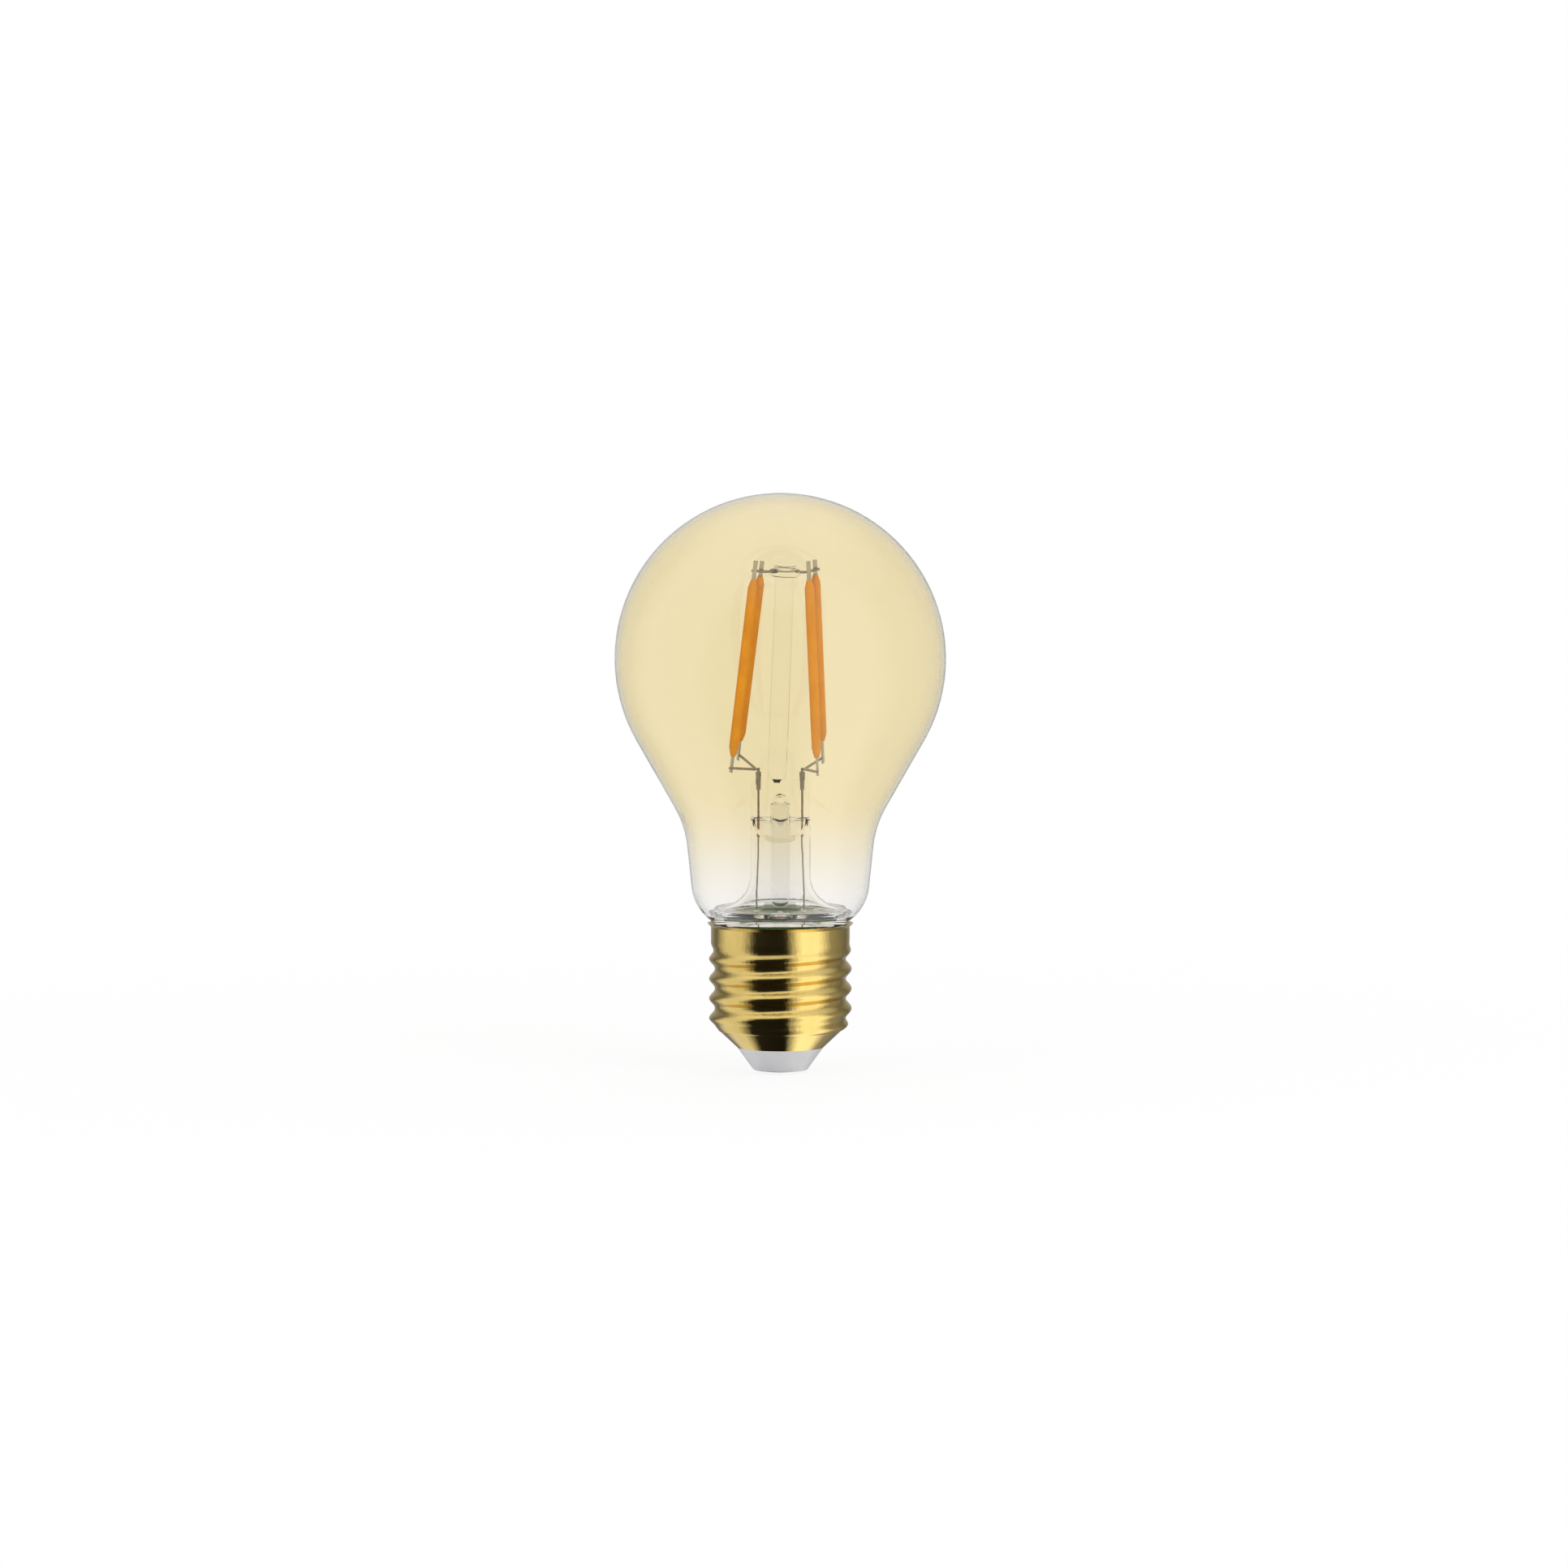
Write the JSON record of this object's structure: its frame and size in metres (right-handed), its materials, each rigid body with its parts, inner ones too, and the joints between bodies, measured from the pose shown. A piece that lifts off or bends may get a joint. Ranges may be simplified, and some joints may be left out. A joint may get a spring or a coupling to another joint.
{
  "type": "smart light bulb",
  "caption": "A60 LED filament bulb with amber glass globe, glass stem, filament cage and wireless driver board on an E27 screw cap.",
  "frame": {"origin": "lowest point of the centre contact, on the bulb's axis", "axes": "+Z along the bulb's axis from the centre contact to the top of the globe; -Y is the front, which faces the viewer in the picture"},
  "size_m": [0.0604, 0.0604, 0.106],
  "materials": {
    "amber_glass": "thin clear glass with an amber tint that fades to colourless at the neck",
    "clear_glass": "clear drawn glass",
    "gold_shell": "thin sheet, gold coloured, bright rolled finish",
    "cement": "dry capping cement",
    "insulator_plastic": "pale grey moulded plastic",
    "contact_metal": "plated contact disc",
    "phosphor_silicone": "orange-amber phosphor silicone",
    "strip_metal": "plated carrier strip",
    "led_chip": "tiny LED chips",
    "lead_wire": "nickel-iron wire, oxidised grey",
    "seal_wire": "copper-clad seal wire, reddish brown in the glass",
    "board_green": "green solder mask on glass-fibre board",
    "solder": "bright solder",
    "shield_steel": "tinned shield can",
    "chip_black": "moulded black package",
    "antenna_ceramic": "white ceramic antenna",
    "capacitor_sleeve": "black shrink sleeve",
    "ferrite": "dark ferrite",
    "copper_wire": "enamelled copper winding",
    "tinned_wire": "tinned copper wire",
    "resistor_body": "green-grey resistor coating",
    "wire_insulation": "red silicone insulation",
    "small_part": "small surface-mount parts"
  },
  "bodies": {
    "root": {"bridge_rectifier": "chip_black", "bridge_wire": "lead_wire", "cap_cement": "cement", "cap_insulator": "insulator_plastic", "capacitor_pins": "tinned_wire", "centre_contact": "contact_metal", "chip_legs": "tinned_wire", "column_head": "clear_glass", "driver_board": "board_green", "exhaust_tube": "clear_glass", "filament_back_left_jacket": "phosphor_silicone", "filament_back_left_strip": "strip_metal", "filament_back_left_tabs": "strip_metal", "filament_back_right_jacket": "phosphor_silicone", "filament_back_right_strip": "strip_metal", "filament_back_right_tabs": "strip_metal", "filament_front_left_jacket": "phosphor_silicone", "filament_front_left_strip": "strip_metal", "filament_front_left_tabs": "strip_metal", "filament_front_right_jacket": "phosphor_silicone", "filament_front_right_strip": "strip_metal", "filament_front_right_tabs": "strip_metal", "filament_led_chips": "led_chip", "filter_inductor_core": "ferrite", "filter_inductor_winding": "copper_wire", "fusible_resistor": "resistor_body", "fusible_resistor_leads": "tinned_wire", "glass_envelope": "amber_glass", "led_driver_chip": "chip_black", "left_inner_lead": "lead_wire", "left_outer_lead": "lead_wire", "left_seal_wire": "seal_wire", "left_support_arms": "lead_wire", "left_weld_sleeve": "lead_wire", "live_wire": "tinned_wire", "live_wire_insulation": "wire_insulation", "neutral_wire": "tinned_wire", "right_inner_lead": "lead_wire", "right_outer_lead": "lead_wire", "right_seal_wire": "seal_wire", "right_support_arms": "lead_wire", "right_weld_sleeve": "lead_wire", "screw_shell": "gold_shell", "small_board_parts": "small_part", "smoothing_capacitor": "capacitor_sleeve", "solder_joints": "solder", "stem_tube": "clear_glass", "support_column": "clear_glass", "wireless_antenna": "antenna_ceramic", "wireless_module": "board_green", "wireless_shield_can": "shield_steel"}
  },
  "joints": []
}
